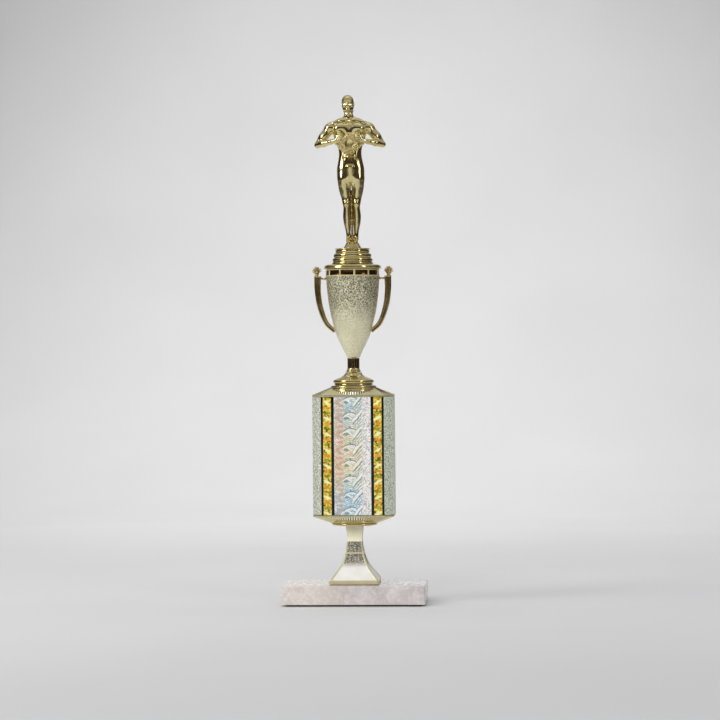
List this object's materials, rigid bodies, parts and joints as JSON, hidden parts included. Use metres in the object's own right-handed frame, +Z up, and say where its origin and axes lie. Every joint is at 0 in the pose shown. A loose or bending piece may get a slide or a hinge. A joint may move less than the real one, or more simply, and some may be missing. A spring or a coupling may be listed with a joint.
{
  "type": "achievement trophy",
  "caption": "Tall achievement trophy: marble base, flared riser, foil-faced column, two-handled lidded cup and a standing figure holding a wreath, clamped by a tie rod.",
  "frame": {"origin": "middle of the underside, on the surface that the trophy stands on", "axes": "+Z up the tie rod, -Y towards the front, +X towards the figure's left hand (the viewer's right)"},
  "size_m": [0.122, 0.062, 0.4351],
  "materials": {
    "marble": "polished, pinkish beige with grey and mauve veins",
    "gold_plastic": "vacuum-metallised pale gold, mirror-bright with moulded texture",
    "satin_gold_plastic": "vacuum-metallised champagne gold over a fine sand-blast texture",
    "patterned_foil": "embossed rainbow film in silver and gold stripes with black lines",
    "core_plastic": "plain moulded",
    "steel": "zinc-plated",
    "felt": "dark green felt"
  },
  "bodies": {
    "base": {"felt_pad_front_left": "felt", "felt_pad_front_right": "felt", "felt_pad_back_left": "felt", "felt_pad_back_right": "felt", "marble_base": "marble", "base_washer": "steel", "base_nut": "steel", "tie_rod": "steel", "column_washer": "steel", "column_nut": "steel", "figure_nut": "steel"},
    "riser": {"flared_riser": "gold_plastic"},
    "column": {"lower_column_cap": "gold_plastic", "column_core": "core_plastic", "column_foil": "patterned_foil", "upper_column_cap": "gold_plastic"},
    "cup": {"cup_foot": "gold_plastic", "cup_stem": "gold_plastic", "cup_bowl": "satin_gold_plastic", "handle_right": "gold_plastic", "handle_left": "gold_plastic", "cup_lid": "gold_plastic"},
    "figure": {"figure_plinth": "gold_plastic", "victory_figure": "gold_plastic"}
  },
  "joints": [
    {"name": "riser_turn", "type": "hinge", "parent": "base", "child": "riser", "pos_m": [0, 0, 0.0178], "axis": [0, 0, 1], "continuous": true},
    {"name": "column_turn", "type": "hinge", "parent": "base", "child": "column", "pos_m": [0, 0, 0.0677], "axis": [0, 0, 1], "continuous": true},
    {"name": "cup_turn", "type": "hinge", "parent": "base", "child": "cup", "pos_m": [0, 0, 0.1878], "axis": [0, 0, 1], "continuous": true},
    {"name": "figure_turn", "type": "hinge", "parent": "base", "child": "figure", "pos_m": [0, 0, 0.2902], "axis": [0, 0, 1], "continuous": true}
  ]
}
